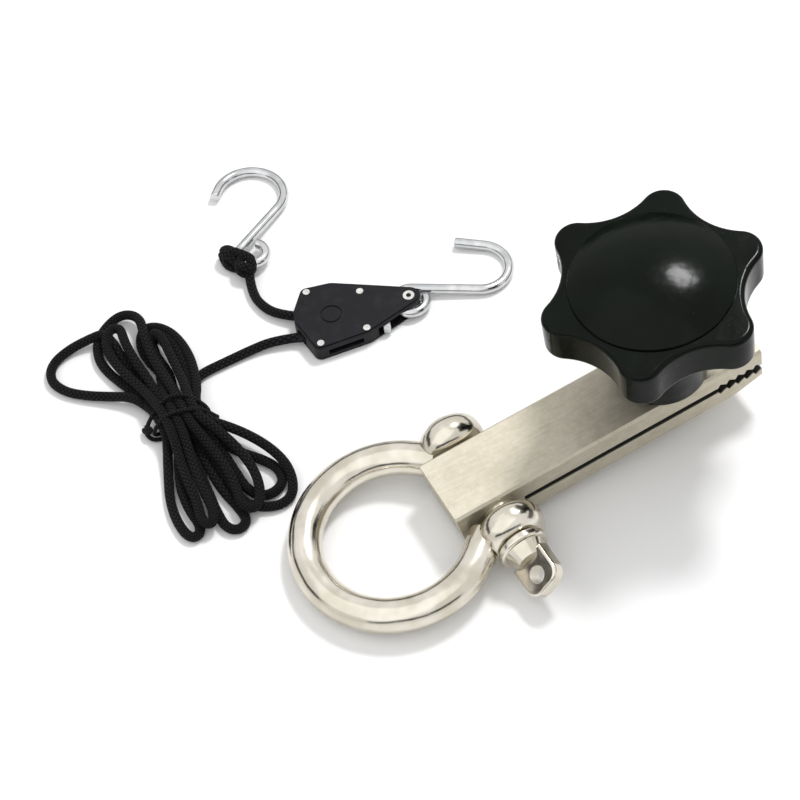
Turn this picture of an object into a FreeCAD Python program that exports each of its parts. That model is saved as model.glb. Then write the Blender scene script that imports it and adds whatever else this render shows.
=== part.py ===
"""Rope hoist kit: a pocket rope ratchet with two wire hooks and a hank of braided
rope, and a screw clamp with a star knob and a bow shackle.  All sizes in millimetres.

Frame: +Z up, z = 0 is the surface that everything rests on, and the origin is on the
underside of the ratchet housing, straight under the sheave's axis.
"""
import FreeCAD
import Part

import math
import os

Vec = FreeCAD.Vector
UP = Vec(0, 0, 1)

# ---------------------------------------------------------------- driving dimensions
# Ratchet housing: two covers, outlined by a belt round these circles (x, y, radius)
HOUSING_CORNERS = [
    (-12.3, -1.5, 3.8), (-6.2, -14.6, 3.4), (14.2, -9.3, 3.5),
    (34.0, 4.3, 5.0), (0.6, 8.9, 8.7), (-9.4, 13.4, 3.2), (-12.3, 3.7, 3.8)]
NOSE = Vec(34.0, 4.3, 0)            # axis of the tubular rivet that holds the hook
HOUSING_THICKNESS = 8.0
COVER_PLATE = 1.3
COVER_WALL = 1.7
COVER_LEDGE = 1.0                   # width of the step round each cover's edge
LEDGE_DEPTH = 0.6
HUB_RING_RADIUS = 4.75              # round groove that marks the sheave on the cover
HUB_RING_WIDTH = 0.8
HUB_RING_DEPTH = 0.5

# Cover rivets
RIVET_CENTRES = [(-9.6, 13.9), (13.4, 10.3), (14.4, -10.0), (-5.9, -14.8)]
RIVET_SHANK_RADIUS = 1.0
RIVET_HEAD_RADIUS = 1.55
RIVET_HEAD_HEIGHT = 0.65
RIVET_HEAD_PROUD = 0.2              # only the front heads stand out of their recess
RIVET_BOSS_RADIUS = 2.1

# Windows in the side walls
SIDE_SLOT_MARGIN = 0.5              # between the slot and a rivet's boss
SIDE_SLOT_HEIGHT = 2.8
WINDOW_REACH = 5.0                  # how far a window's cutter stands outside the wall
LEVER_WINDOW_START = 3.6            # from the corner's centre
LEVER_WINDOW_DEPTH = 5.5

# Nose rivet and its bush
NOSE_RIVET_BORE_RADIUS = 1.1
NOSE_RIVET_SHANK_RADIUS = 1.7
NOSE_RIVET_HEAD_RADIUS = 2.5
NOSE_BUSH_RADIUS = 3.7
NOSE_CAVITY_CLEARANCE = 0.4         # round the space in which the hook's eye turns

# Sheave
SHEAVE_TEETH = 12
TOOTH_TIP_RADIUS = 12.6
TOOTH_ROOT_RADIUS = 11.0
FLANGE_THICKNESS = 0.8
GROOVE_WIDTH = 3.2
GROOVE_RADIUS = 6.4
SHEAVE_BORE_CLEARANCE = 0.06
AXLE_RADIUS = 1.8
AXLE_SEAT_DEPTH = 0.8               # how far a pin reaches into each cover plate

# Release pawl
PAWL_PIVOT = Vec(18.5, 5.0, 0)
PAWL_PIN_RADIUS = 1.2
PAWL_BOSS_RADIUS = 3.2
SPRING_WIRE_RADIUS = 0.18
SPRING_RADIUS = 1.75                # of the coil's centre line
SPRING_TURNS = 2.5
SPRING_PITCH = 0.55
SPRING_LEG = 5.4
SPRING_WELL_RADIUS = 2.3            # pocket in the pawl's boss
PAWL_HEIGHT = 4.6
PAWL_RUN_CLEARANCE = 0.05
LATCH_ANGLE = -10.0                 # where the pawl's nose meets a tooth, in degrees
LATCH_GAP = 0.08
PAWL_TOE_RISE = 0.25                # of the toe above the root of the tooth it holds
PAWL_TOE_WIDTH = 2.4
PAWL_ARM = [(13.4, 3.0), (11.8, -3.5)]   # under side of the toe's arm, as radius and bearing
LEVER_TAIL = [(17.0, 2.9), (19.2, -2.8), (21.2, -6.8), (21.6, -9.4),
              (24.6, -9.4), (24.6, -5.9), (22.3, -0.8), (20.8, 4.0)]
LEVER_GROOVES = 2
LEVER_GROOVE_PITCH = 1.0
LEVER_GROOVE_SIZE = 0.4

# Rope
ROPE_DIAMETER = 4.2
ROPE_SQUEEZED_WIDTH = 2.8           # across the sheave's groove
ROPE_FLAT = 0.55                    # part of the squeezed section's width that is flat
ROPE_WRAP_RADIUS = 8.8              # of the rope's centre line round the sheave
LOAD_PORT_Y = 4.8
TAIL_PORT_Y = -7.0
PORT_X = -16.1
PORT_CLEARANCE = 0.9
PORT_DEPTH = 7.0
PORT_OVERLAP = 1.0                  # rope tubes run this far past the ports before they are trimmed
LOAD_LINE = [(-33.7, 31.0, 3.6), (-33.4, 21.6, 2.7), (-28.9, 12.9, 2.8), (-22.3, 7.2, 3.5),
             (PORT_X + PORT_OVERLAP, LOAD_PORT_Y - 0.2, 4.0)]
TAIL_LINE = [(PORT_X + PORT_OVERLAP, TAIL_PORT_Y, 4.0), (-26.0, -6.6, 3.6), (-36.5, -9.2, 2.5),
             (-47.5, -13.4, 2.2), (-58.5, -17.8, 2.2), (-66.5, -22.3, 2.6)]
SIDE_LOOP = [(-97.5, 8.6, 6.4), (-105.5, 7.4, 4.6), (-114.3, 4.8, 2.9), (-122.2, -1.4, 2.2),
             (-123.2, -10.2, 2.2), (-117.2, -17.0, 2.2), (-108.3, -20.9, 2.4), (-97.6, -24.0, 3.4),
             (-87.5, -27.2, 5.2)]

# Wire hooks
WIRE_DIAMETER = 4.4
WIRE_END_ROUND = 0.5
RATCHET_HOOK = dict(eye=6.7, shank=29.6, crook=12.4, turn=173.6, tip=13.2)
EYE_SLACK = 0.6                     # how far the ratchet hook's eye sits off its rivet
EYE_SLACK_BEARING = 28.0            # which way, from the shank's heading
RATCHET_HOOK_HEADING = -9.4
ROPE_HOOK = dict(eye=6.0, shank=28.6, crook=15.3, turn=197.0, tip=4.6)
ROPE_HOOK_HEADING = 51.2
ROPE_HOOK_EYE = Vec(-31.5, 42.1, 5.4)
TUNNEL_CLEARANCE = 0.5              # round the eye inside the knot

# Knot, hank and tie
KNOT_LUMPS = [(-38.6, 40.2, 5.0, 5.0), (-34.0, 34.6, 5.2, 5.2)]
KNOT_STUB = (Vec(-39.5, 35.0, 4.0), Vec(-41.5, 29.5, 2.3))
HANK_HEIGHT = 8.8
HANK_LOOPS_TOP = [(-66.0, -36.0, 4.0), (-62.5, -12.0, 5.0), (-66.5, -3.5, 4.5), (-88.5, 12.5, 6.0),
                  (-98.5, 4.5, 5.0), (-97.5, -7.5, 5.0), (-77.0, -38.0, 4.0)]
HANK_LOOPS_BOTTOM = [(-74.5, -49.0, 4.0), (-74.0, -76.0, 5.0), (-66.5, -96.5, 5.5), (-50.0, -96.5, 4.5),
                     (-27.5, -82.0, 5.5), (-37.0, -60.0, 5.0), (-59.0, -46.0, 4.0)]
HANK_WAIST = Vec(-67.5, -43.5, 0)
HANK_HEADING = -71.0                # direction of the hank's long axis, in degrees
WAIST_HALF_WIDTH = 11.5
WAIST_HEIGHT = 15.0
WAIST_LENGTH = 26.0
TIE_DIAMETER = 1.8
TIE_SPACING = 3.0

# Screw clamp, in its own frame: origin at the shackle pin, x along the bar, z up
BAR_LENGTH = 141.5
BAR_WIDTH = 31.0
BAR_THICKNESS = 20.4
BAR_EDGE = 1.0                      # bevel along the top's ends
BAR_REAR_RAKE = 2.2                 # how far the shackle end is cut back underneath
PIN_FROM_END = 18.0
SLIT_ROOT = 30.0                    # from the shackle end of the bar
SLIT_WIDTH = 3.2
LOWER_JAW_THICKNESS = 8.0
JAW_ROOT_GAP = 0.05
TEETH_PER_JAW = 5
TOOTH_PITCH = 4.2
TOOTH_DEPTH = 2.0
TOOTH_RISE = 0.3                    # part of the pitch taken by a tooth's steep side
TOOTH_GAP = 2.6                     # between the tips of facing teeth, with the jaws open
TOOTH_LEAD = 1.0                    # slope from the slit's side to the first tooth
TIP_TAPER_LENGTH = 14.0
TIP_TAPER_DROP = 4.2
CLAMP_AT = Vec(50.9, -101.3, 0)     # under the middle of the shackle pin
CLAMP_HEADING = 21.8                # degrees

# Clamp screw and star knob
SCREW_FROM_END = 103.8
SCREW_RADIUS = 6.0
SCREW_PROUD = 10.5                  # its end stands out below the open jaw and props the bar
SCREW_BEVEL = 1.0
SCREW_CLEARANCE = 0.5
WASHER_RADIUS = 12.0
WASHER_THICKNESS = 2.5
HUB_RADIUS = 19.0
HUB_HEIGHT = 39.5
KNOB_RADIUS = 45.0
KNOB_HOLLOW_DEPTH = 9.8
KNOB_LOBES = 6
KNOB_LOBE_ROUND = 8.8
KNOB_SKIRT = 18.0
KNOB_EDGE_ROUND = 2.0
DOME_RIM_WIDTH = 2.8                # between the dome and the bottom of a hollow
DOME_STEP = 0.8
DOME_HEIGHT = 8.0                   # above the step
KNOB_PHASE = 51.0                   # of the first lobe, in degrees
INSERT_RADIUS = 9.0
INSERT_DEPTH = 24.0

# Bow shackle
EAR_RADIUS = 14.0
EAR_THICKNESS = 14.5
EAR_ROUND = 6.6
EAR_SPREAD = 24.4                   # centre of each ear from the middle of the pin
BOW_ROD_RADIUS = 7.1
BOW_RADIUS = 36.0
LEG_ROOT = Vec(-9.0, 20.5, 0)       # where each leg's centre line meets its ear
LEG_SHOULDER = 1.2                  # how far that point stands outside the bow's circle
BOW_SHIFT = -1.0                    # of the shackle along its pin, off the bar's middle
BAR_SWING_CLEARANCE = 0.8           # round the bar's rear corners
BAR_SIDE_CLEARANCE = 0.5
PIN_RADIUS = 7.5
PIN_CLEARANCE = 0.09
COLLAR_RADIUS = 10.5
COLLAR_THICKNESS = 3.6
COLLAR_ROUND = 1.2
COLLAR_GAP = 0.4
FACING_MARGIN = 0.8                 # the ears are faced flat this far past the collar
NECK_RADIUS = 8.6
NECK_END_RADIUS = 6.4
NECK_LENGTH = 3.6
TAB_WIDTH = 17.0
TAB_LENGTH = 16.0
TAB_CORNER_ROUND = 5.5
TAB_EDGE_ROUND = 1.2
TAB_TURN = 40.0                     # of the flat head about the pin, in degrees
TAB_THICKNESS = 6.2
TAB_HOLE_RADIUS = 3.7
TAB_HOLE_AT = 0.56                  # of the head's length, from the neck

# ---------------------------------------------------------------- worked-out sizes
MID_HEIGHT = HOUSING_THICKNESS / 2
INNER_FLOOR = COVER_PLATE
INNER_ROOF = HOUSING_THICKNESS - COVER_PLATE
WIRE_RADIUS = WIRE_DIAMETER / 2
ROPE_RADIUS = ROPE_DIAMETER / 2
TIE_ROOM = TIE_SPACING / 2 + TIE_DIAMETER
NOSE_CAVITY_RADIUS = RATCHET_HOOK["eye"] + WIRE_RADIUS + EYE_SLACK + NOSE_CAVITY_CLEARANCE
KNOB_VALLEY_RADIUS = KNOB_RADIUS - KNOB_HOLLOW_DEPTH
DOME_RADIUS = KNOB_VALLEY_RADIUS - DOME_RIM_WIDTH
SHEAVE_HEIGHT = GROOVE_WIDTH + 2 * FLANGE_THICKNESS
SHEAVE_FLOOR = MID_HEIGHT - SHEAVE_HEIGHT / 2
SCREW_X = SCREW_FROM_END - PIN_FROM_END
TIP_X = BAR_LENGTH - PIN_FROM_END
ROOT_X = SLIT_ROOT - PIN_FROM_END
BAR_TOP = BAR_THICKNESS / 2
BAR_BOTTOM = -BAR_THICKNESS / 2
LOWER_JAW_TOP = BAR_BOTTOM + LOWER_JAW_THICKNESS
PROP_DEPTH = BAR_THICKNESS / 2 + SCREW_PROUD
PROP_REACH = SCREW_X - SCREW_RADIUS + SCREW_BEVEL
CLAMP_TILT = math.degrees(math.asin(EAR_RADIUS / math.hypot(PROP_REACH, PROP_DEPTH))
                          - math.atan2(PROP_DEPTH, PROP_REACH))
BOW_CENTRE = LEG_ROOT.x - math.sqrt((BOW_RADIUS + LEG_SHOULDER) ** 2 - LEG_ROOT.y ** 2)
BOW_DROOP = math.degrees(math.asin((EAR_RADIUS - BOW_ROD_RADIUS) / (BOW_RADIUS - BOW_CENTRE)))


# ---------------------------------------------------------------- helpers
def polar(radius, degrees, z=0.0):
    angle = math.radians(degrees)
    return Vec(radius * math.cos(angle), radius * math.sin(angle), z)


def cylinder(radius, height, at=Vec(0, 0, 0), axis=UP):
    return Part.makeCylinder(radius, height, at, axis)


def prism(wire, z0, z1):
    shape = Part.Face(wire).extrude(Vec(0, 0, z1 - z0))
    shape.translate(Vec(0, 0, z0))
    return shape


def polygon(points):
    corners = [Vec(*p) if isinstance(p, tuple) else p for p in points]
    flat = [Vec(p.x, p.y, 0) for p in corners]
    return Part.makePolygon(flat + flat[:1])


def slab(x0, x1, y0, y1, z0, z1):
    return Part.makeBox(x1 - x0, y1 - y0, z1 - z0, Vec(x0, y0, z0))


def fuse(first, *others):
    return first.multiFuse(list(others)).removeSplitter()


def rotated(shape, axis, degrees, centre=Vec(0, 0, 0)):
    turned = shape.copy()
    turned.rotate(centre, axis, degrees)
    return turned


def moved(shape, offset):
    copy = shape.copy()
    copy.translate(offset)
    return copy


def belt(circles, offset=0.0):
    """Closed outline that wraps convex circles, given counter-clockwise."""
    count = len(circles)
    normals = []
    for i, (x0, y0, r0) in enumerate(circles):
        x1, y1, r1 = circles[(i + 1) % count]
        heading = math.atan2(y1 - y0, x1 - x0)
        lean = math.acos((r0 - r1) / math.hypot(x1 - x0, y1 - y0))
        normals.append(heading - lean)
    edges = []
    for i, (x, y, radius) in enumerate(circles):
        r = radius + offset
        before = normals[i - 1]
        after = normals[i]
        while after < before:
            after += 2 * math.pi
        middle = (before + after) / 2
        ends = [Vec(x + r * math.cos(a), y + r * math.sin(a), 0) for a in (before, middle, after)]
        edges.append(Part.Arc(*ends).toShape())
        nx, ny, nr = circles[(i + 1) % count]
        nr += offset
        target = Vec(nx + nr * math.cos(after), ny + nr * math.sin(after), 0)
        edges.append(Part.LineSegment(ends[2], target).toShape())
    return Part.Wire(edges)


def circle_edges(shape):
    return [edge for edge in shape.Edges if not edge.Degenerated and isinstance(edge.Curve, Part.Circle)]


def rounded_path(points):
    """Edges of straight runs joined by tangent arcs, and the arcs' radii."""
    edges = []
    radii = []
    start = points[0]
    for before, corner, after in zip(points, points[1:], points[2:]):
        d1 = (corner - before).normalize()
        d2 = (after - corner).normalize()
        setback = 0.45 * min(corner.distanceToPoint(before), corner.distanceToPoint(after))
        half_turn = d1.getAngle(d2) / 2
        radius = setback / math.tan(half_turn)
        radii.append(radius)
        arc_start = corner - d1 * setback
        arc_end = corner + d2 * setback
        inward = (d2 - d1).normalize()
        arc_middle = corner + inward * (radius / math.cos(half_turn) - radius)
        edges.append(Part.LineSegment(start, arc_start).toShape())
        edges.append(Part.Arc(arc_start, arc_middle, arc_end).toShape())
        start = arc_end
    edges.append(Part.LineSegment(start, points[-1]).toShape())
    return edges, radii


def sweep(edges, profile):
    pipe = Part.Wire(edges).makePipeShell([profile], True, True)
    return Part.Solid(pipe) if pipe.ShapeType == "Shell" else pipe


def cord_tube(name, points, diameter):
    """Plain round tube along a cord's route; prints its radii and checks its volume."""
    points = [Vec(*p) for p in points]
    edges, radii = rounded_path(points)
    circle = Part.Wire(Part.makeCircle(diameter / 2, points[0], points[1] - points[0]))
    tube = sweep(edges, circle)
    length = sum(edge.Length for edge in edges)
    expected = math.pi * diameter ** 2 / 4 * length
    print(f"{name}: length {length:.1f}, radii {[round(r, 1) for r in radii]}, "
          f"volume ratio {tube.Volume / expected:.4f}")
    return tube


# ---------------------------------------------------------------- ratchet housing
def rivet_holes():
    holes = []
    for x, y in RIVET_CENTRES:
        holes.append(cylinder(RIVET_SHANK_RADIUS, HOUSING_THICKNESS, Vec(x, y, 0)))
        for z in (0, HOUSING_THICKNESS - RIVET_HEAD_HEIGHT + RIVET_HEAD_PROUD):
            height = RIVET_HEAD_HEIGHT if z == 0 else RIVET_HEAD_HEIGHT - RIVET_HEAD_PROUD
            holes.append(cylinder(RIVET_HEAD_RADIUS, height, Vec(x, y, z)))
    return holes


def along_wall(shape, corner, far):
    """From a frame with x along a side wall to the wall between two corners."""
    heading = math.degrees(math.atan2(far.y - corner.y, far.x - corner.x))
    return moved(rotated(shape, UP, heading), corner)


def housing_openings():
    """Everything that the walls leave open: rope ports, lever slot, side slot and nose."""
    port_half = ROPE_RADIUS + PORT_CLEARANCE
    z0 = INNER_FLOOR
    z1 = INNER_ROOF
    cuts = []
    for y in (LOAD_PORT_Y, TAIL_PORT_Y):
        cuts.append(slab(PORT_X - 2, PORT_X + PORT_DEPTH, y - port_half, y + port_half, z0, z1))
    cuts.append(cylinder(NOSE_CAVITY_RADIUS, z1 - z0, Vec(NOSE.x, NOSE.y, z0)))
    tail_corner, lever_corner, nose_corner = [Vec(x, y, 0) for x, y, _radius in HOUSING_CORNERS[1:4]]
    margin = RIVET_BOSS_RADIUS + SIDE_SLOT_MARGIN
    side_slot = slab(margin, tail_corner.distanceToPoint(lever_corner) - margin, -WINDOW_REACH, 0,
                     MID_HEIGHT - SIDE_SLOT_HEIGHT / 2, MID_HEIGHT + SIDE_SLOT_HEIGHT / 2)
    cuts.append(along_wall(side_slot, tail_corner, lever_corner))
    lever_end = lever_corner.distanceToPoint(nose_corner) - NOSE_CAVITY_RADIUS + 1
    lever_window = slab(LEVER_WINDOW_START, lever_end, -WINDOW_REACH, LEVER_WINDOW_DEPTH, z0, z1)
    cuts.append(along_wall(lever_window, lever_corner, nose_corner))
    return cuts


def cover(lower):
    """One moulded half: face plate with a stepped edge, and half of the side wall."""
    outline = belt(HOUSING_CORNERS)
    inner = belt(HOUSING_CORNERS, -COVER_WALL)
    step = belt(HOUSING_CORNERS, -COVER_LEDGE)
    shell = prism(outline, LEDGE_DEPTH, MID_HEIGHT)
    shell = fuse(shell, prism(step, 0, LEDGE_DEPTH))
    shell = shell.cut(prism(inner, COVER_PLATE, MID_HEIGHT))
    sheave_room = cylinder(TOOTH_TIP_RADIUS + 0.5, MID_HEIGHT - COVER_PLATE, Vec(0, 0, COVER_PLATE))
    bosses = [cylinder(RIVET_BOSS_RADIUS, MID_HEIGHT - COVER_PLATE, Vec(x, y, COVER_PLATE))
              for x, y in RIVET_CENTRES]
    wall_space = prism(outline, COVER_PLATE, MID_HEIGHT)
    shell = fuse(shell, *[boss.common(wall_space) for boss in bosses])
    shell = shell.cut(sheave_room)
    if not lower:
        shell = shell.mirror(Vec(0, 0, MID_HEIGHT), UP)
        ring_z = HOUSING_THICKNESS - HUB_RING_DEPTH
        ring = cylinder(HUB_RING_RADIUS, HUB_RING_DEPTH, Vec(0, 0, ring_z))
        ring = ring.cut(cylinder(HUB_RING_RADIUS - HUB_RING_WIDTH, HUB_RING_DEPTH, Vec(0, 0, ring_z)))
        shell = shell.cut(ring)
    for cut in housing_openings() + rivet_holes():
        shell = shell.cut(cut)
    seat_z = INNER_FLOOR - AXLE_SEAT_DEPTH if lower else INNER_ROOF
    shell = shell.cut(cylinder(AXLE_RADIUS, AXLE_SEAT_DEPTH, Vec(0, 0, seat_z)))
    shell = shell.cut(cylinder(PAWL_PIN_RADIUS, AXLE_SEAT_DEPTH, Vec(PAWL_PIVOT.x, PAWL_PIVOT.y, seat_z)))
    shell = shell.cut(cylinder(NOSE_RIVET_SHANK_RADIUS, HOUSING_THICKNESS, NOSE))
    for z in (0, HOUSING_THICKNESS - RIVET_HEAD_HEIGHT + RIVET_HEAD_PROUD):
        shell = shell.cut(cylinder(NOSE_RIVET_HEAD_RADIUS, RIVET_HEAD_HEIGHT, Vec(NOSE.x, NOSE.y, z)))
    return shell


def cover_rivets():
    solids = []
    for x, y in RIVET_CENTRES:
        shank = cylinder(RIVET_SHANK_RADIUS, HOUSING_THICKNESS, Vec(x, y, 0))
        back = cylinder(RIVET_HEAD_RADIUS, RIVET_HEAD_HEIGHT, Vec(x, y, 0))
        front_z = HOUSING_THICKNESS - RIVET_HEAD_HEIGHT + RIVET_HEAD_PROUD
        front = cylinder(RIVET_HEAD_RADIUS, RIVET_HEAD_HEIGHT, Vec(x, y, front_z))
        solids.append(fuse(shank, back, front))
    return Part.makeCompound(solids)


def nose_rivet():
    front_z = HOUSING_THICKNESS - RIVET_HEAD_HEIGHT + RIVET_HEAD_PROUD
    body = fuse(cylinder(NOSE_RIVET_SHANK_RADIUS, HOUSING_THICKNESS, NOSE),
                cylinder(NOSE_RIVET_HEAD_RADIUS, RIVET_HEAD_HEIGHT, NOSE),
                cylinder(NOSE_RIVET_HEAD_RADIUS, RIVET_HEAD_HEIGHT, Vec(NOSE.x, NOSE.y, front_z)))
    return body.cut(cylinder(NOSE_RIVET_BORE_RADIUS, HOUSING_THICKNESS + 1, NOSE))


def nose_bush():
    at = Vec(NOSE.x, NOSE.y, INNER_FLOOR)
    height = INNER_ROOF - INNER_FLOOR
    return cylinder(NOSE_BUSH_RADIUS, height, at).cut(cylinder(NOSE_RIVET_SHANK_RADIUS, height, at))


def cross_pin(radius, at):
    z0 = INNER_FLOOR - AXLE_SEAT_DEPTH
    height = INNER_ROOF - INNER_FLOOR + 2 * AXLE_SEAT_DEPTH
    return cylinder(radius, height, Vec(at.x, at.y, z0))


# ---------------------------------------------------------------- sheave and pawl
def latch_point():
    return polar(TOOTH_ROOT_RADIUS, LATCH_ANGLE)


def latch_face_direction():
    """Along a tooth's holding face: square to the line from its root to the pawl's pivot."""
    to_pivot = (PAWL_PIVOT - latch_point()).normalize()
    return Vec(to_pivot.y, -to_pivot.x, 0)


def toothed_flange(z0):
    step = 360.0 / SHEAVE_TEETH
    root = latch_point()
    face = latch_face_direction()
    along = root.dot(face)
    reach = -along + math.sqrt(along ** 2 + TOOTH_TIP_RADIUS ** 2 - TOOTH_ROOT_RADIUS ** 2)
    tip = root + face * reach
    points = []
    for i in range(SHEAVE_TEETH):
        points.append(rotated(Part.Vertex(tip), UP, i * step).Point)
        points.append(rotated(Part.Vertex(root), UP, i * step).Point)
    return prism(polygon(points), z0, z0 + FLANGE_THICKNESS)


def sheave():
    core = cylinder(GROOVE_RADIUS, SHEAVE_HEIGHT, Vec(0, 0, SHEAVE_FLOOR))
    top = SHEAVE_FLOOR + SHEAVE_HEIGHT - FLANGE_THICKNESS
    body = fuse(core, toothed_flange(SHEAVE_FLOOR), toothed_flange(top))
    return body.cut(cylinder(AXLE_RADIUS + SHEAVE_BORE_CLEARANCE, HOUSING_THICKNESS))


def release_pawl():
    """Toothed nose, thumb lever and boss, with a pocket for the torsion spring."""
    z0 = MID_HEIGHT - PAWL_HEIGHT / 2
    z1 = MID_HEIGHT + PAWL_HEIGHT / 2
    face = latch_face_direction()
    into_pocket = (PAWL_PIVOT - latch_point()).normalize() * LATCH_GAP
    toe = latch_point() + into_pocket + face * PAWL_TOE_RISE
    heel = toe + face * PAWL_TOE_WIDTH
    nose = [toe, heel, PAWL_PIVOT + Vec(1.6, -2.0, 0), PAWL_PIVOT + Vec(-1.9, 1.6, 0),
            *[polar(*place) for place in PAWL_ARM]]
    arms = [prism(polygon(nose), z0, z1), prism(polygon(LEVER_TAIL), z0, z1)]
    pivot = Vec(PAWL_PIVOT.x, PAWL_PIVOT.y, z0)
    boss = cylinder(PAWL_BOSS_RADIUS, PAWL_HEIGHT, pivot)
    pawl = fuse(boss, *arms).cut(cylinder(PAWL_PIN_RADIUS + PAWL_RUN_CLEARANCE, PAWL_HEIGHT, pivot))
    well_z = spring_floor() - SPRING_WIRE_RADIUS - 0.1
    pawl = pawl.cut(cylinder(SPRING_WELL_RADIUS, z1 - well_z, Vec(pivot.x, pivot.y, well_z)))
    leg_slot = slab(-PAWL_BOSS_RADIUS - 0.6, 0, -SPRING_RADIUS - 0.35, -SPRING_RADIUS + 0.35, well_z, z1)
    pawl = pawl.cut(moved(leg_slot, Vec(pivot.x, pivot.y, 0)))
    tip_x, tip_y = LEVER_TAIL[4]
    half = LEVER_GROOVE_SIZE / 2
    for i in range(LEVER_GROOVES):
        y = tip_y + (i + 0.7) * LEVER_GROOVE_PITCH
        pawl = pawl.cut(slab(tip_x - LEVER_GROOVE_SIZE, tip_x + 1, y - half, y + half, z0, z1))
    return pawl


def spring_floor():
    """Height of the coil's lowest centre line; its top leg runs just above the pawl."""
    return INNER_ROOF - SPRING_WIRE_RADIUS - SPRING_TURNS * SPRING_PITCH


def pawl_spring():
    """Torsion spring in the pawl's boss: one leg in the pawl, one against a rivet's boss."""
    z0 = spring_floor()
    height = SPRING_TURNS * SPRING_PITCH
    coil = Part.makeHelix(SPRING_PITCH, height, SPRING_RADIUS)
    start = Vec(SPRING_RADIUS, 0, 0)
    section = Part.Wire(Part.makeCircle(SPRING_WIRE_RADIUS, start, Vec(0, 1, 0)))
    wound = sweep(coil.Edges, section)
    turn_end = polar(SPRING_RADIUS, 360 * SPRING_TURNS, height)
    heading = polar(1, 360 * SPRING_TURNS + 90)
    top_leg = cylinder(SPRING_WIRE_RADIUS, SPRING_LEG, turn_end, heading)
    bottom_leg = cylinder(SPRING_WIRE_RADIUS, PAWL_BOSS_RADIUS, start, Vec(0, -1, 0))
    spring = fuse(wound, top_leg, bottom_leg)
    spring.rotate(Vec(0, 0, 0), UP, -90)
    return moved(spring, Vec(PAWL_PIVOT.x, PAWL_PIVOT.y, z0))


# ---------------------------------------------------------------- rope
def tangent_angle(point, radius, sign):
    """Polar angle where a line from the point touches the circle round the origin."""
    distance = math.hypot(point.x, point.y)
    heading = math.degrees(math.atan2(point.y, point.x))
    return heading + sign * math.degrees(math.acos(radius / distance))


def rope_in_ratchet():
    radius = ROPE_WRAP_RADIUS
    entry = Vec(PORT_X - PORT_OVERLAP, LOAD_PORT_Y + 0.2, MID_HEIGHT)
    lip = Vec(PORT_X + 3.3, LOAD_PORT_Y - 0.6, MID_HEIGHT)
    exit_point = Vec(PORT_X, TAIL_PORT_Y, MID_HEIGHT)
    top_angle = tangent_angle(lip, radius, -1)
    bottom_angle = tangent_angle(exit_point, radius, 1)
    top = polar(radius, top_angle, MID_HEIGHT)
    bottom = polar(radius, bottom_angle, MID_HEIGHT)
    middle = polar(radius, (top_angle + bottom_angle) / 2, MID_HEIGHT)
    past_exit = exit_point + (exit_point - bottom).normalize() * PORT_OVERLAP
    lead, _radii = rounded_path([entry, lip, top])
    edges = lead + [Part.Arc(top, middle, bottom).toShape(), Part.LineSegment(bottom, past_exit).toShape()]
    half_width = ROPE_SQUEEZED_WIDTH / 2
    across = (lip - entry).normalize()
    side = Vec(across.y, -across.x, 0) * ROPE_RADIUS
    flat = ROPE_FLAT
    ring = []
    for a, b in ((-1, -flat), (-flat, -1), (flat, -1), (1, -flat),
                 (1, flat), (flat, 1), (-flat, 1), (-1, flat)):
        ring.append(entry + side * a + UP * (half_width * b))
    rope = sweep(edges, Part.makePolygon(ring + ring[:1]))
    return rope.cut(slab(2 * PORT_X, PORT_X, -20, 20, 0, HOUSING_THICKNESS))


def outside_ports(tube):
    """Trims a rope tube at the housing's ports."""
    return tube.cut(slab(PORT_X, 0, -20, 20, 0, HOUSING_THICKNESS))


def rope_knot(tunnel):
    lumps = []
    for x, y, z, radius in KNOT_LUMPS:
        lumps.append(Part.makeSphere(radius, Vec(x, y, z)))
    start, end = KNOT_STUB
    stub = cylinder(ROPE_RADIUS, start.distanceToPoint(end), start, end - start)
    knot = fuse(lumps[0], lumps[1], stub)
    knot = knot.common(slab(-60, -20, 20, 60, 0.05, 12))
    return knot.cut(tunnel)


def waist_frame(shape):
    """From a frame with x along the hank to the hank's place."""
    return moved(rotated(shape, UP, HANK_HEADING), HANK_WAIST)


def waist_barrel(grow, length):
    """Oval barrel round the hank's waist, x along it, standing on z = 0 when grown by the tie."""
    half_width = WAIST_HALF_WIDTH + grow
    half_height = WAIST_HEIGHT / 2 - TIE_DIAMETER + grow
    oval = Part.Ellipse(Vec(0, 0, 0), half_width, half_height)
    face = Part.Face(Part.Wire(oval.toShape()))
    face.rotate(Vec(0, 0, 0), Vec(1, 0, 0), 90)
    face.rotate(Vec(0, 0, 0), UP, 90)
    face.translate(Vec(-length / 2, 0, WAIST_HEIGHT / 2))
    return waist_frame(face.extrude(Vec(length, 0, 0)))


def rope_hank():
    outline = belt(HANK_LOOPS_TOP)
    top = prism(outline, 0, HANK_HEIGHT)
    bottom = prism(belt(HANK_LOOPS_BOTTOM), 0, HANK_HEIGHT)
    barrel = waist_barrel(0, WAIST_LENGTH)
    tie_room = waist_frame(slab(-TIE_ROOM, TIE_ROOM, -60, 60, -1, 40))
    loops = fuse(top, bottom).cut(tie_room)
    return fuse(loops, barrel)


def hank_tie():
    """Two turns of thin cord round the waist, each a flat oval ring."""
    rings = []
    for side in (-1, 1):
        at = side * (TIE_SPACING / 2)
        outer = waist_barrel(TIE_DIAMETER, TIE_DIAMETER)
        inner = waist_barrel(0, TIE_DIAMETER + 2)
        offset = polar(at, HANK_HEADING)
        rings.append(moved(outer.cut(inner), offset))
    return Part.makeCompound(rings)


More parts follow.
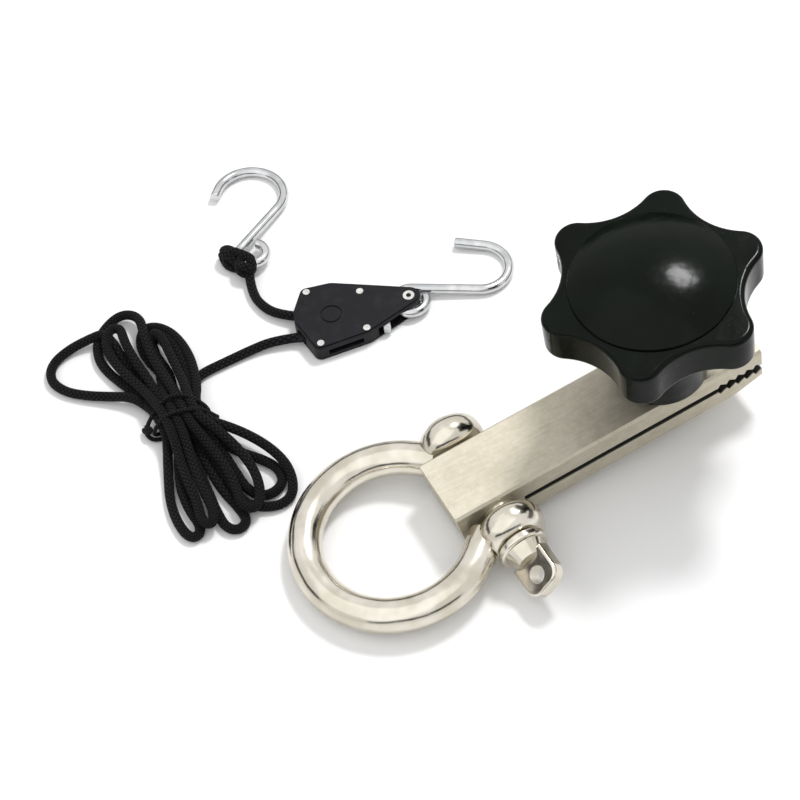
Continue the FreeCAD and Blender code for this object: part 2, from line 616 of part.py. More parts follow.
# ---------------------------------------------------------------- wire hooks
def hook_wire(eye, shank, crook, turn, tip):
    """Hook bent from one wire in the XY plane: eye at the origin, shank towards +x."""
    close = math.degrees(math.acos(1 - WIRE_DIAMETER * 1.03 / eye))
    eye_end = 90 + 360 - close
    end = polar(eye, eye_end)
    middle = polar(eye, (90 + eye_end) / 2)
    start = Vec(0, eye, 0)
    bend = Vec(shank, eye, 0)
    centre = Vec(shank, eye + crook, 0)
    crook_end = centre + polar(crook, turn - 90)
    crook_middle = centre + polar(crook, turn / 2 - 90)
    edges = [Part.Arc(end, middle, start).toShape(),
             Part.LineSegment(start, bend).toShape(),
             Part.Arc(bend, crook_middle, crook_end).toShape(),
             Part.LineSegment(crook_end, crook_end + polar(tip, turn)).toShape()]
    heading = Vec(-math.sin(math.radians(eye_end)), math.cos(math.radians(eye_end)), 0)
    wire = sweep(edges, Part.Wire(Part.makeCircle(WIRE_RADIUS, end, heading)))
    ends = [edge for edge in circle_edges(wire) if abs(edge.Curve.Radius - WIRE_RADIUS) < 1e-6
            and edge.Curve.Center.distanceToPoint(crook_end + polar(tip, turn)) < 1e-3]
    return wire.makeFillet(WIRE_END_ROUND, ends)


def hook_pose(sizes, eye_at, heading):
    """Placement that lays the hook's crook on the ground with its eye at eye_at."""
    reach = sizes["shank"] + sizes["crook"]
    droop = math.degrees(math.asin((eye_at.z - WIRE_RADIUS) / reach))
    spin = FreeCAD.Rotation(UP, heading)
    lean = FreeCAD.Rotation(Vec(0, 1, 0), droop)
    return FreeCAD.Placement(eye_at, spin.multiply(lean))


def placed(shape, placement):
    copy = shape.copy()
    copy.Placement = placement.multiply(copy.Placement)
    return copy


# ---------------------------------------------------------------- screw clamp
def clamp_place(shape, tilt):
    """From the clamp's own frame to its place on the ground."""
    leaned = rotated(shape, Vec(0, 1, 0), tilt)
    headed = rotated(leaned, UP, CLAMP_HEADING)
    return moved(headed, CLAMP_AT + UP * EAR_RADIUS)


def side_plate(points):
    """Prism across the bar from (x, z) points."""
    corners = [Vec(x, -BAR_WIDTH / 2, z) for x, z in points]
    face = Part.Face(Part.makePolygon(corners + corners[:1]))
    return face.extrude(Vec(0, BAR_WIDTH, 0))


def tooth_line(side):
    """Zigzag from the first tooth to the jaw's tip; side is 1 above the slit, -1 below it."""
    points = []
    start = TIP_X - TEETH_PER_JAW * TOOTH_PITCH
    tips = LOWER_JAW_TOP + SLIT_WIDTH / 2 + side * TOOTH_GAP / 2
    for i in range(TEETH_PER_JAW):
        x = start + i * TOOTH_PITCH
        points.append((x, tips))
        points.append((x + TOOTH_PITCH * TOOTH_RISE, tips + side * TOOTH_DEPTH))
    points.append((TIP_X, tips))
    return points


def clamp_bar():
    """Solid rear block with the pin bore, and the fixed upper jaw."""
    slit_top = LOWER_JAW_TOP + SLIT_WIDTH
    teeth = tooth_line(1)
    points = [(BAR_REAR_RAKE - PIN_FROM_END, BAR_BOTTOM), (ROOT_X, BAR_BOTTOM), (ROOT_X, slit_top),
              (teeth[0][0] - TOOTH_LEAD, slit_top)]
    points += teeth + [(TIP_X, BAR_TOP), (-PIN_FROM_END, BAR_TOP)]
    bar = side_plate(points)
    long_edges = [edge for edge in bar.Edges
                  if abs(edge.CenterOfMass.z - BAR_TOP) < 1e-6 and edge.Length > BAR_WIDTH + 1]
    bar = bar.makeChamfer(BAR_EDGE, long_edges)
    bore = cylinder(PIN_RADIUS + PIN_CLEARANCE, BAR_WIDTH + 2, Vec(0, -BAR_WIDTH / 2 - 1, 0), Vec(0, 1, 0))
    screw_hole = cylinder(SCREW_RADIUS + SCREW_CLEARANCE, BAR_THICKNESS, Vec(SCREW_X, 0, BAR_BOTTOM))
    return bar.cut(bore).cut(screw_hole)


def lower_jaw():
    teeth = tooth_line(-1)
    root = ROOT_X + JAW_ROOT_GAP
    points = [(root, BAR_BOTTOM), (TIP_X - TIP_TAPER_LENGTH, BAR_BOTTOM),
              (TIP_X, BAR_BOTTOM + TIP_TAPER_DROP)]
    points += teeth[::-1] + [(teeth[0][0] - TOOTH_LEAD, LOWER_JAW_TOP), (root, LOWER_JAW_TOP)]
    jaw = side_plate(points)
    return jaw.cut(cylinder(SCREW_RADIUS + SCREW_CLEARANCE, BAR_THICKNESS, Vec(SCREW_X, 0, BAR_BOTTOM)))


def star_outline():
    """Lobes and hollows of the knob as tangent arcs."""
    lobe_at = KNOB_RADIUS - KNOB_LOBE_ROUND
    step = 360.0 / KNOB_LOBES
    shrink = math.cos(math.radians(step / 2))
    top = KNOB_LOBE_ROUND ** 2 - lobe_at ** 2 - KNOB_VALLEY_RADIUS ** 2 \
        + 2 * lobe_at * shrink * KNOB_VALLEY_RADIUS
    hollow = top / (2 * (KNOB_VALLEY_RADIUS - lobe_at * shrink - KNOB_LOBE_ROUND))
    edges = []
    for i in range(KNOB_LOBES):
        angle = KNOB_PHASE + i * step
        lobe = polar(lobe_at, angle)
        next_lobe = polar(lobe_at, angle + step)
        valley_centre = polar(KNOB_VALLEY_RADIUS + hollow, angle + step / 2)
        before_centre = polar(KNOB_VALLEY_RADIUS + hollow, angle - step / 2)
        first = lobe + (before_centre - lobe).normalize() * KNOB_LOBE_ROUND
        last = lobe + (valley_centre - lobe).normalize() * KNOB_LOBE_ROUND
        following = next_lobe + (valley_centre - next_lobe).normalize() * KNOB_LOBE_ROUND
        edges.append(Part.Arc(first, polar(KNOB_RADIUS, angle), last).toShape())
        edges.append(Part.Arc(last, polar(KNOB_VALLEY_RADIUS, angle + step / 2), following).toShape())
    return Part.Wire(edges)


def knob_base():
    return BAR_TOP + WASHER_THICKNESS


def star_knob():
    """Star grip: hub, lobed skirt with rounded edges, and a low dome."""
    base = knob_base()
    skirt_floor = base + HUB_HEIGHT
    skirt_top = skirt_floor + KNOB_SKIRT
    skirt = prism(star_outline(), skirt_floor, skirt_top)
    rims = [edge for edge in skirt.Edges if abs(edge.BoundBox.ZMax - edge.BoundBox.ZMin) < 1e-6]
    skirt = skirt.makeFillet(KNOB_EDGE_ROUND, rims)
    sphere_radius = (DOME_RADIUS ** 2 + DOME_HEIGHT ** 2) / (2 * DOME_HEIGHT)
    dome_top = skirt_top + DOME_STEP + DOME_HEIGHT
    ball = Part.makeSphere(sphere_radius, Vec(0, 0, dome_top - sphere_radius))
    cap = ball.common(cylinder(DOME_RADIUS, dome_top - skirt_top + 0.5, Vec(0, 0, skirt_top - 0.5)))
    crease = [edge for edge in circle_edges(cap)
              if abs(edge.CenterOfMass.z - skirt_top - DOME_STEP) < 1e-3]
    cap = cap.makeFillet(DOME_STEP * 0.7, crease)
    hub = Part.makeCone(HUB_RADIUS, HUB_RADIUS + 4, HUB_HEIGHT + 1, Vec(0, 0, base))
    knob = moved(fuse(skirt, cap, hub), Vec(SCREW_X, 0, 0))
    return knob.cut(knob_insert()).cut(clamp_screw())


def knob_insert():
    """Metal bush moulded into the hub; it grips the screw."""
    base = knob_base()
    bush = cylinder(INSERT_RADIUS, INSERT_DEPTH, Vec(SCREW_X, 0, base))
    return bush.cut(cylinder(SCREW_RADIUS, INSERT_DEPTH, Vec(SCREW_X, 0, base)))


def clamp_screw():
    base = BAR_BOTTOM - SCREW_PROUD
    top = knob_base() + INSERT_DEPTH + 4
    rod = cylinder(SCREW_RADIUS, top - base, Vec(SCREW_X, 0, base))
    end = [edge for edge in circle_edges(rod) if abs(edge.CenterOfMass.z - base) < 1e-6]
    return rod.makeChamfer(SCREW_BEVEL, end)


def knob_washer():
    at = Vec(SCREW_X, 0, BAR_TOP)
    plate = cylinder(WASHER_RADIUS, WASHER_THICKNESS - 0.05, at)
    return plate.cut(cylinder(SCREW_RADIUS + SCREW_CLEARANCE, WASHER_THICKNESS, at))


# ---------------------------------------------------------------- bow shackle
def ear(side):
    at = Vec(0, side * EAR_SPREAD - EAR_THICKNESS / 2, 0)
    disc = cylinder(EAR_RADIUS, EAR_THICKNESS, at, Vec(0, 1, 0))
    return disc.makeFillet(EAR_ROUND, circle_edges(disc))


def shackle_bow():
    centre = Vec(BOW_CENTRE, 0, 0)
    to_root = LEG_ROOT - centre
    bearing = math.degrees(math.atan2(to_root.y, to_root.x))
    touch = bearing + math.degrees(math.acos(BOW_RADIUS / to_root.Length))
    near = centre + polar(BOW_RADIUS, touch)
    far = centre + polar(BOW_RADIUS, -touch)
    edges = [Part.LineSegment(LEG_ROOT, near).toShape(),
             Part.Arc(near, centre + polar(BOW_RADIUS, 180), far).toShape(),
             Part.LineSegment(far, Vec(LEG_ROOT.x, -LEG_ROOT.y, 0)).toShape()]
    rod = sweep(edges, Part.Wire(Part.makeCircle(BOW_ROD_RADIUS, LEG_ROOT, near - LEG_ROOT)))
    bow = fuse(rod, ear(1), ear(-1))
    ear_face = EAR_SPREAD + EAR_THICKNESS / 2
    for side in (-1, 1):
        facing = cylinder(COLLAR_RADIUS + FACING_MARGIN, EAR_THICKNESS, Vec(0, side * ear_face, 0),
                          Vec(0, side, 0))
        bow = bow.cut(facing)
    half_room = BAR_WIDTH / 2 + BAR_SIDE_CLEARANCE
    bar_reach = math.hypot(PIN_FROM_END, BAR_THICKNESS / 2) + BAR_SWING_CLEARANCE
    bow = bow.cut(cylinder(bar_reach, 2 * half_room, Vec(0, -BOW_SHIFT - half_room, 0), Vec(0, 1, 0)))
    bore = cylinder(PIN_RADIUS + PIN_CLEARANCE, 4 * EAR_SPREAD, Vec(0, -2 * EAR_SPREAD, 0), Vec(0, 1, 0))
    return bow.cut(bore)


def shackle_pin():
    """Screw pin with a collar and a flat head pierced for a key; the head is at -y."""
    axis = Vec(0, -1, 0)
    ear_face = EAR_SPREAD + EAR_THICKNESS / 2
    collar_at = -ear_face - COLLAR_GAP
    shank = cylinder(PIN_RADIUS, 2 * ear_face + 2, Vec(0, ear_face + 1.5, 0), axis)
    collar = cylinder(COLLAR_RADIUS, COLLAR_THICKNESS, Vec(0, collar_at, 0), axis)
    collar = collar.makeFillet(COLLAR_ROUND, circle_edges(collar))
    neck_at = collar_at - COLLAR_THICKNESS
    neck = Part.makeCone(NECK_RADIUS, NECK_END_RADIUS, NECK_LENGTH + 2, Vec(0, neck_at, 0), axis)
    tab_at = neck_at - NECK_LENGTH
    tab_end = tab_at - TAB_LENGTH
    half = TAB_THICKNESS / 2
    tab = slab(-TAB_WIDTH / 2, TAB_WIDTH / 2, tab_end, tab_at, -half, half)
    corners = [edge for edge in tab.Edges
               if abs(edge.CenterOfMass.y - tab_end) < 1e-6 and edge.Length < TAB_THICKNESS + 0.01]
    tab = tab.makeFillet(TAB_CORNER_ROUND, corners)
    faces = [edge for edge in tab.Edges if abs(abs(edge.CenterOfMass.z) - half) < 1e-6]
    tab = tab.makeFillet(TAB_EDGE_ROUND, faces)
    hole = cylinder(TAB_HOLE_RADIUS, TAB_THICKNESS + 2,
                    Vec(0, tab_at - TAB_LENGTH * TAB_HOLE_AT, -half - 1))
    head = rotated(tab.cut(hole), axis, TAB_TURN)
    return fuse(shank, collar, neck, head)


# ---------------------------------------------------------------- assembly
def build():
    nose_eye = Vec(NOSE.x, NOSE.y, MID_HEIGHT) + polar(EYE_SLACK, RATCHET_HOOK_HEADING + EYE_SLACK_BEARING)
    ratchet_pose = hook_pose(RATCHET_HOOK, nose_eye, RATCHET_HOOK_HEADING)
    rope_pose = hook_pose(ROPE_HOOK, ROPE_HOOK_EYE, ROPE_HOOK_HEADING)
    tunnel = Part.makeTorus(ROPE_HOOK["eye"], WIRE_RADIUS + TUNNEL_CLEARANCE)
    knot = rope_knot(placed(tunnel, rope_pose))
    along_pin = Vec(0, BOW_SHIFT, 0)
    hank = rope_hank()
    nodes = {
        "back_cover": cover(True),
        "front_cover": cover(False),
        "cover_rivets": cover_rivets(),
        "nose_rivet": nose_rivet(),
        "nose_bush": nose_bush(),
        "sheave_axle": cross_pin(AXLE_RADIUS, Vec(0, 0, 0)),
        "pawl_pivot": cross_pin(PAWL_PIN_RADIUS, PAWL_PIVOT),
        "pawl_spring": pawl_spring(),
        "sheave": sheave(),
        "release_pawl": release_pawl(),
        "ratchet_hook": placed(hook_wire(**RATCHET_HOOK), ratchet_pose),
        "rope_hook": placed(hook_wire(**ROPE_HOOK), rope_pose),
        "rope_in_ratchet": rope_in_ratchet(),
        "rope_knot": knot,
        "rope_load_line": outside_ports(cord_tube("load line", LOAD_LINE, ROPE_DIAMETER)).cut(knot),
        "rope_tail_line": outside_ports(cord_tube("tail line", TAIL_LINE, ROPE_DIAMETER)).cut(hank),
        "rope_side_loop": cord_tube("side loop", SIDE_LOOP, ROPE_DIAMETER).cut(hank),
        "rope_hank": hank,
        "hank_tie": hank_tie(),
        "clamp_bar": clamp_place(clamp_bar(), CLAMP_TILT),
        "lower_jaw": clamp_place(lower_jaw(), CLAMP_TILT),
        "star_knob": clamp_place(star_knob(), CLAMP_TILT),
        "knob_insert": clamp_place(knob_insert(), CLAMP_TILT),
        "clamp_screw": clamp_place(clamp_screw(), CLAMP_TILT),
        "knob_washer": clamp_place(knob_washer(), CLAMP_TILT),
        "shackle_bow": clamp_place(moved(shackle_bow(), along_pin), -BOW_DROOP),
        "shackle_pin": clamp_place(moved(shackle_pin(), along_pin), -BOW_DROOP),
    }
    return nodes


os.makedirs("parts", exist_ok=True)
for name, shape in build().items():
    box = shape.BoundBox
    print(f"{name:16} solids {len(shape.Solids)} valid {shape.isValid()} volume {shape.Volume:9.1f} "
          f"z {box.ZMin:6.2f}..{box.ZMax:6.2f}")
    shape.exportStep(f"parts/{name}.step")
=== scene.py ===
# %% [markdown]
# # Rope hoist kit
# A pocket rope ratchet with two wire hooks and a tied hank of braided rope lies beside a
# screw clamp with a star knob and a bow shackle.  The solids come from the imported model;
# this script gives them their finishes, and makes the rope, its knot and the thin tie.

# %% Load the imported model
import math

import bmesh
import bpy
from mathutils import Matrix, Vector


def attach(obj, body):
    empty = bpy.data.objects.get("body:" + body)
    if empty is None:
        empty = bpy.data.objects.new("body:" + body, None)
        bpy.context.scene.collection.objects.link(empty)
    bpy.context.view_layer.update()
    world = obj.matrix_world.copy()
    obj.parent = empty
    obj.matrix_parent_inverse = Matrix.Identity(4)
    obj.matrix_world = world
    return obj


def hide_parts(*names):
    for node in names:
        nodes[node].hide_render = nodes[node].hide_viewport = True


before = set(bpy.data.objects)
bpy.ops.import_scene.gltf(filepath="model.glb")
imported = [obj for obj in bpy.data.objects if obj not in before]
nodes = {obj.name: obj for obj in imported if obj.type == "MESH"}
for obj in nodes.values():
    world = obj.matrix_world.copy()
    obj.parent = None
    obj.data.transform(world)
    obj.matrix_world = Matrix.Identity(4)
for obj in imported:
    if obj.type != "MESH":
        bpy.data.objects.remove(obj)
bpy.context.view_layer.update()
MM = 0.001

# %% [markdown]
# ## Camera
# A long lens keeps the knob from looking too near.

# %% Camera
LOOK_AT = Vector((24.1, -44.4, 0.0)) * MM
ELEVATION = math.radians(54)
ROLL = math.radians(8)
DISTANCE = 0.924
LENS_MM = 99.0

forward = Vector((0, math.cos(ELEVATION), -math.sin(ELEVATION)))
level_up = Vector((0, math.sin(ELEVATION), math.cos(ELEVATION)))
level_right = Vector((1, 0, 0))
right = level_right * math.cos(ROLL) - level_up * math.sin(ROLL)
up = level_right * math.sin(ROLL) + level_up * math.cos(ROLL)

lens = bpy.data.cameras.new("camera")
lens.lens = LENS_MM
lens.sensor_width = 36.0
lens.clip_start = 0.05
lens.clip_end = 20.0
camera = bpy.data.objects.new("camera", lens)
bpy.context.scene.collection.objects.link(camera)
place = Matrix((right, up, -forward)).transposed().to_4x4()
place.translation = LOOK_AT - forward * DISTANCE
camera.matrix_world = place
bpy.context.scene.camera = camera

# %% [markdown]
# ## Shader helper
# Every finish below is a few lines of arithmetic on sockets.  A `Value` wraps one socket, so
# that sums, products and blends can be written plainly, and a `Finish` is one material with
# its principled shader.

# %% Sockets with arithmetic
class Value:
    """One socket of a node tree; arithmetic on it adds Math nodes."""

    def __init__(self, finish, socket):
        self.finish = finish
        self.socket = socket

    def math(self, operation, *others):
        return self.finish.node("ShaderNodeMath", {"operation": operation}, *((self,) + others))

    def __add__(self, other):
        return self.math("ADD", other)

    __radd__ = __add__

    def __sub__(self, other):
        return self.math("SUBTRACT", other)

    def __rsub__(self, other):
        return (self * -1) + other

    def __mul__(self, other):
        return self.math("MULTIPLY", other)

    __rmul__ = __mul__

    def __truediv__(self, other):
        return self.math("DIVIDE", other)

    def fraction(self):
        return self.math("FRACT")

    def wave(self):
        """Sine of the value, which counts half turns."""
        return (self * math.pi).math("SINE")

    def step(self, low, high):
        """Smooth rise from 0 to 1 between two values."""
        return self.finish.node("ShaderNodeMapRange", {"interpolation_type": "SMOOTHSTEP"},
                                self, low, high, 0.0, 1.0)

    def blend(self, first, second):
        """Colour between first, where this is 0, and second, where it is 1."""
        return self.finish.node("ShaderNodeMix", {"data_type": "RGBA"}, out="Result",
                                Factor=self, A=first, B=second)


class Finish:
    """A material with its principled shader and an object-space position."""

    def __init__(self, name, color, roughness, metallic=0.0, **constants):
        self.material = bpy.data.materials.new(name)
        self.material.use_nodes = True
        self.tree = self.material.node_tree
        self.shader = self.tree.nodes["Principled BSDF"]
        self.set("Base Color", color)
        self.set("Roughness", roughness)
        self.set("Metallic", metallic)
        for socket, value in constants.items():
            self.set(socket.replace("_", " "), value)

    def set(self, name, value):
        self.plug(self.shader.inputs[name], value)

    def plug(self, socket, value):
        if isinstance(value, Value):
            self.tree.links.new(value.socket, socket)
        elif isinstance(value, tuple) and socket.type == "RGBA":
            socket.default_value = (*value, 1.0)[:4]
        else:
            socket.default_value = value

    def node(self, kind, settings=None, *values, out=None, **named):
        made = self.tree.nodes.new(kind)
        for key, value in (settings or {}).items():
            setattr(made, key, value)
        sockets = [s for s in made.inputs if s.enabled]
        for socket, value in zip(sockets, values):
            self.plug(socket, value)
        for name, value in named.items():
            self.plug(next(s for s in sockets if s.name == name.replace("_", " ")), value)
        outputs = [s for s in made.outputs if s.enabled]
        return Value(self, next(s for s in outputs if out in (None, s.name)))

    def position(self, output="Object"):
        return self.node("ShaderNodeTexCoord", out=output)

    def turned(self, degrees, scale=(1, 1, 1)):
        """Position in a frame turned about the z axis, and stretched."""
        turned = self.node("ShaderNodeMapping", {}, self.position())
        mapping = turned.socket.node
        mapping.vector_type = "TEXTURE"
        mapping.inputs["Rotation"].default_value = (0, 0, math.radians(degrees))
        mapping.inputs["Scale"].default_value = scale
        return turned

    def noise(self, size_mm, where=None, detail=3.0, rough=0.6):
        """Noise whose lumps are about size_mm wide."""
        return self.node("ShaderNodeTexNoise", {}, out="Fac", Vector=where or self.position(),
                         Scale=1000.0 / size_mm, Detail=detail, Roughness=rough)

    def bump(self, height, depth_mm):
        self.set("Normal", self.node("ShaderNodeBump", {}, Strength=1.0, Distance=depth_mm * MM,
                                     Height=height))


# %% [markdown]
# ## Metals
# The hooks are bright zinc, a little cloudy.  The shackle is polished nickel, warmer and with
# slow waves in it from hand polishing.  The bar is brushed along its length.  Its slit, which
# is found in the clamp's own tilted frame, is painted near-black as painted shade.

# %% Metal finishes
def bright_metal(name, color, dark, roughness, cloud_mm, ripple_mm, ripple_depth):
    """Polished metal: cloudy tone, uneven gloss and slow ripples."""
    finish = Finish(name, color, roughness, 1.0)
    cloud = finish.noise(cloud_mm, detail=2.0)
    specks = finish.noise(cloud_mm / 12, detail=4.0)
    finish.set("Base Color", cloud.step(0.3, 0.7).blend(dark, color))
    finish.set("Roughness", roughness + 0.10 * cloud.step(0.45, 0.8) + 0.05 * specks)
    finish.bump(finish.noise(ripple_mm, detail=1.0) + 0.03 * specks, ripple_depth)
    return finish


wire_finish = bright_metal("hook_wire", (0.66, 0.66, 0.66), (0.52, 0.53, 0.54), 0.12, 9.0, 14.0, 0.12)
shackle_finish = bright_metal("shackle", (0.74, 0.70, 0.62), (0.58, 0.54, 0.45), 0.14, 14.0, 12.0, 0.45)
rivet_finish = bright_metal("rivet", (0.82, 0.81, 0.79), (0.68, 0.67, 0.64), 0.16, 2.0, 3.0, 0.05)
steel_finish = bright_metal("inner_steel", (0.52, 0.52, 0.51), (0.36, 0.36, 0.35), 0.30, 5.0, 9.0, 0.05)
sheave_finish = bright_metal("sheave", (0.60, 0.60, 0.60), (0.48, 0.48, 0.48), 0.40, 4.0, 5.0, 0.08)
lever_finish = bright_metal("pawl", (0.62, 0.63, 0.64), (0.46, 0.47, 0.48), 0.34, 3.0, 5.0, 0.05)

# the clamp's own frame starts at the middle of its shackle pin and lies along the bar
CLAMP_HEADING = 21.8
CLAMP_TILT = 4.7
HINGE = (50.9, -101.3, 14.0)
# the slit and the teeth, in millimetres in that frame
SLIT_MIDDLE = -0.6
SLIT_REACH = 3.5
BAR_HALF_WIDTH = 15.5
SLIT_FROM, BAR_TIP = 12.0, 123.5
bar_finish = Finish("bar", (0.55, 0.52, 0.44), 0.46, 1.0)
mottle = bar_finish.noise(3.5, detail=6.0, rough=0.75)
brushed = bar_finish.noise(1.1, bar_finish.turned(CLAMP_HEADING, (14, 1, 1)), detail=2.0)
patches = bar_finish.noise(34.0, detail=2.0)
tone = 0.45 * mottle + 0.25 * brushed + 0.30 * patches
metal = tone.step(0.34, 0.66).blend((0.46, 0.42, 0.33), (0.60, 0.565, 0.475))
lying = bar_finish.turned(CLAMP_HEADING)
lying.socket.node.inputs["Location"].default_value = [c * MM for c in HINGE]
lying.socket.node.inputs["Rotation"].default_value[1] = math.radians(-CLAMP_TILT)
reach, across, height = (bar_finish.node("ShaderNodeSeparateXYZ", {}, lying, out=axis) * 1000
                         for axis in "XYZ")
# the slit's faces are painted near-black, less metallic and rougher: painted shade in the slit
painted_slit_shade = ((1 - (height - SLIT_MIDDLE).math("ABSOLUTE").step(SLIT_REACH, SLIT_REACH + 0.2))
           * (1 - across.math("ABSOLUTE").step(BAR_HALF_WIDTH - 0.5, BAR_HALF_WIDTH - 0.2))
           * reach.step(SLIT_FROM - 0.5, SLIT_FROM) * (1 - reach.step(BAR_TIP - 0.5, BAR_TIP - 0.2)))
bar_finish.set("Base Color", painted_slit_shade.blend(metal, (0.02, 0.019, 0.017)))
bar_finish.set("Metallic", 1 - 0.8 * painted_slit_shade)
bar_finish.set("Roughness", 0.46 + 0.16 * mottle + 0.08 * brushed + 0.2 * painted_slit_shade)
bar_finish.bump(0.6 * brushed + 0.4 * mottle, 0.05)

# %% [markdown]
# The screw's thread is too fine to be worth solid geometry, so its grooves are cut by bump:
# a saw of the height above the table, which makes level rings.

# %% Screw thread
THREAD_PITCH = 1.75
screw_finish = Finish("screw", (0.50, 0.49, 0.46), 0.30, 1.0)
along = screw_finish.node("ShaderNodeSeparateXYZ", {}, screw_finish.position(), out="Z")
thread = (along * (1 / (THREAD_PITCH * MM))).fraction()
ridge = (thread - 0.5).math("ABSOLUTE") * 2
# the grooves are painted dark and the crests light: painted shade in the grooves
screw_finish.set("Base Color", ridge.step(0.1, 0.8).blend((0.16, 0.155, 0.14), (0.58, 0.57, 0.53)))
screw_finish.set("Roughness", 0.26 + 0.2 * screw_finish.noise(1.5))
screw_finish.bump(ridge, 0.5)

# %% [markdown]
# ## Plastics
# The ratchet's covers are satin black with a fine moulded grain.  The knob is glossier, with a
# faint green cast, tiny dust specks and a slow unevenness that softens its reflections.

# %% Plastic finishes
housing_finish = Finish("housing", (0.018, 0.018, 0.021), 0.42, Specular_IOR_Level=0.15)
grain = housing_finish.noise(0.32, detail=2.0)
wear = housing_finish.noise(6.0, detail=5.0)
housing_finish.set("Base Color", wear.step(0.45, 0.75).blend((0.008, 0.008, 0.010), (0.015, 0.015, 0.018)))
housing_finish.set("Roughness", 0.38 + 0.10 * wear + 0.06 * grain)
housing_finish.bump(grain, 0.05)

knob_finish = Finish("knob", (0.002, 0.004, 0.002), 0.22, Specular_IOR_Level=0.10)
haze = knob_finish.noise(22.0, detail=4.0)
dust = knob_finish.noise(1.3, detail=0.0).step(0.80, 0.86)
knob_finish.set("Base Color", haze.step(0.3, 0.7).blend((0.0012, 0.0024, 0.0014), (0.0026, 0.0050, 0.0028)))
knob_finish.set("Roughness", 0.12 + 0.10 * haze + 0.25 * dust)
knob_finish.bump(knob_finish.noise(19.0, detail=3.0, rough=0.45) + 0.01 * knob_finish.noise(0.6), 0.55)

# %% [markdown]
# ## Braid
# The rope is a tubular braid.  Two families of yarns wind round it in opposite senses, and in
# every diamond where they cross, one of them lies on top.  The rope's own length and girth
# coordinates give the diamonds, so that the braid follows every bend.

# %% Braid finish
def braid(name, length, pitch_mm, yarns, color, crown_highlight_color, depth_mm):
    """Braided cord whose UV runs 0..1 along its length and round its girth."""
    finish = Finish(name, color, 0.72, Specular_IOR_Level=0.12, Sheen_Weight=0.02,
                    Sheen_Roughness=0.5)
    place = finish.position("UV")
    u = finish.node("ShaderNodeSeparateXYZ", {}, place, out="X") * (length / (pitch_mm * MM))
    v = finish.node("ShaderNodeSeparateXYZ", {}, place, out="Y") * yarns
    first, second = u + v, u - v
    over = (first.math("FLOOR") + second.math("FLOOR")).math("PINGPONG", 1.0).step(0.4, 0.6)
    across_first, across_second = first.fraction().wave(), second.fraction().wave()
    pillow = across_first.math("POWER", 0.6) * across_second.math("POWER", 0.6)
    fibre = (over * first + (1 - over) * second) * 9.0
    strands = fibre.fraction().wave()
    fuzz = finish.noise(0.5, detail=4.0)
    height = pillow * (0.8 + 0.2 * strands)
    # the yarn crowns are painted grey and the hollows between them black: painted highlight and painted
    # shade, broken up by random fuzz
    painted_crown_highlight = (0.75 * height + 0.45 * fuzz).step(0.55, 1.05)
    finish.set("Base Color", painted_crown_highlight.blend(color, crown_highlight_color))
    finish.set("Roughness", 0.80 - 0.22 * painted_crown_highlight)
    finish.bump(height + 0.12 * fuzz, depth_mm)
    return finish


# %% [markdown]
# ## Rope route
# One braided rope runs from the knot on the free hook, round the sheave, and out to the
# hank.  A curve with a round bevel is the natural way to make it: the listed points
# say where it lies, and a NURBS spline of order 3 rounds every corner smoothly.

# %% Curve helper
ROPE_DIAMETER = 4.2
TIE_DIAMETER = 1.8


def add_cord(name, points_mm, diameter_mm, sides=4):
    """A round cord along a NURBS spline through given control points."""
    # each point carries the radius, so that the cord's own box is true
    data = bpy.data.curves.new(name, "CURVE")
    data.dimensions = "3D"
    spline = data.splines.new("NURBS")
    spline.points.add(len(points_mm) - 1)
    for point, (x, y, z) in zip(spline.points, points_mm):
        point.co = (x * MM, y * MM, z * MM, 1)
        point.radius = diameter_mm * MM / 2
    spline.order_u = 3
    spline.use_endpoint_u = True
    spline.resolution_u = 8
    data.bevel_depth = 1.0
    data.bevel_resolution = sides
    data.use_fill_caps = True
    cord = bpy.data.objects.new(name, data)
    bpy.context.scene.collection.objects.link(cord)
    return cord


def line_points(cord):
    """Points along the cord's own line, in metres."""
    depth = cord.data.bevel_depth
    cord.data.bevel_depth = 0
    bpy.context.view_layer.update()
    shown = cord.evaluated_get(bpy.context.evaluated_depsgraph_get())
    line = bpy.data.meshes.new_from_object(shown)
    cord.data.bevel_depth = depth
    points = [v.co.copy() for v in line.vertices]
    bpy.data.meshes.remove(line)
    return points


def line_length(cord):
    points = line_points(cord)
    return sum((b - a).length for a, b in zip(points, points[1:]))


# %% [markdown]
# ## Hank
# The spare rope is folded into long loops and tied at its waist.  At the waist the strands
# pack side by side in three rows; beyond it the loops fan out over the table.  Each loop is
# given by where its two strands pass the waist and by the points of its fold, measured along
# and across the hank, so the whole hank stays one unbroken rope.

# %% Loops of the hank
HANK_WAIST = (-67.5, -43.5)
HANK_HEADING = math.radians(-71)

# where each strand passes the waist: across the hank, and above the table
SLOTS = {
    "low_1": (-6.3, 3.9), "low_2": (-2.1, 3.9), "low_3": (2.1, 3.9), "low_4": (6.3, 3.9),
    "mid_1": (-8.4, 7.5), "mid_2": (-4.2, 7.5), "mid_3": (0.0, 7.5), "mid_4": (4.2, 7.5),
    "mid_5": (8.4, 7.5),
    "top_1": (-6.3, 11.1), "top_2": (-2.1, 11.1), "top_3": (2.1, 11.1), "top_4": (6.3, 11.1)}

